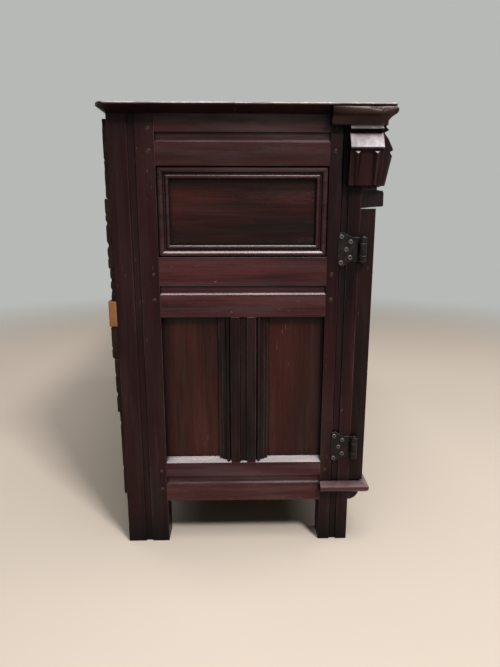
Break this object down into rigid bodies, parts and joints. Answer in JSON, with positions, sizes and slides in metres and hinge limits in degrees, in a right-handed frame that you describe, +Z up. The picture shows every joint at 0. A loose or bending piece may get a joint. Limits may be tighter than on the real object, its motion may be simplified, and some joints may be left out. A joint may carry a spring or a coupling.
{
  "type": "food cupboard",
  "caption": "Joined oak food cupboard with panelled ends, corbelled frieze and two outward doors with turned spindles over moulded panels, for airing and storing food.",
  "frame": {"origin": "on the floor under the centre of the bounding box", "axes": "+X along the width towards the right-hand end as seen from the front, +Y towards the back, +Z up"},
  "size_m": [1.173, 0.5065, 0.822],
  "materials": {
    "oak_frame": "very dark waxed oak, worn arrises",
    "oak_rail": "dark reddish waxed oak",
    "oak_panel": "dark reddish waxed oak panel",
    "oak_inside": "dry unpolished oak",
    "oak_rough": "rough sawn, darkened oak",
    "pine": "new unpolished softwood",
    "iron": "dark wrought iron, worn on the high spots"
  },
  "bodies": {
    "carcase": {"rear_post_left": "oak_frame", "rear_post_right": "oak_frame", "front_post_left": "oak_frame", "front_post_right": "oak_frame", "end_top_rail_left": "oak_rail", "end_top_rail_right": "oak_rail", "end_mid_rail_left": "oak_rail", "end_mid_rail_right": "oak_rail", "end_bottom_rail_left": "oak_rail", "end_bottom_rail_right": "oak_rail", "end_muntin_left": "oak_frame", "end_muntin_right": "oak_frame", "end_upper_panel_left": "oak_panel", "end_upper_panel_right": "oak_panel", "end_lower_panels_left": "oak_panel", "end_lower_panels_right": "oak_panel", "end_moulding_left": "oak_rail", "end_moulding_right": "oak_rail", "front_top_rail": "oak_rail", "front_bottom_rail": "oak_rail", "front_muntin": "oak_frame", "back_rails": "oak_inside", "frieze_board": "oak_rail", "waist_moulding": "oak_rail", "centre_strip": "oak_frame", "cornice_front": "oak_rail", "cornice_return_left": "oak_rail", "cornice_return_right": "oak_rail", "base_front": "oak_rail", "base_return_left": "oak_rail", "base_return_right": "oak_rail", "front_corbels": "oak_frame", "end_corbel_left": "oak_frame", "end_corbel_right": "oak_frame", "top_board_front": "oak_frame", "top_board_rear": "oak_frame", "shelf": "oak_inside", "shelf_ledgers": "oak_inside", "floor_boards": "oak_inside", "floor_ledgers": "oak_inside", "back_boards": "oak_rough", "back_batten": "pine", "frame_pegs": "oak_rough", "board_nails": "iron", "post_hinge_leaves": "iron", "hinge_pins": "iron", "button_pivot": "iron"},
    "door_left": {"door_left_stiles": "oak_frame", "door_left_rails": "oak_rail", "door_left_panels": "oak_panel", "door_left_spindles": "oak_frame", "door_left_hinge_leaves": "iron", "door_left_knob": "oak_frame"},
    "door_right": {"door_right_stiles": "oak_frame", "door_right_rails": "oak_rail", "door_right_panels": "oak_panel", "door_right_spindles": "oak_frame", "door_right_hinge_leaves": "iron", "door_right_knob": "oak_frame"},
    "button": {"turn_button": "oak_frame"}
  },
  "joints": [
    {"name": "door_left_hinge", "type": "hinge", "parent": "carcase", "child": "door_left", "pos_m": [-0.5675, -0.207, 0.391], "axis": [0, 0, -1], "range_deg": [0, 115]},
    {"name": "door_right_hinge", "type": "hinge", "parent": "carcase", "child": "door_right", "pos_m": [0.5675, -0.207, 0.391], "axis": [0, 0, 1], "range_deg": [0, 115]},
    {"name": "button_turn", "type": "hinge", "parent": "carcase", "child": "button", "pos_m": [0, -0.233, 0.391], "axis": [0, -1, 0], "range_deg": [0, 90]}
  ]
}
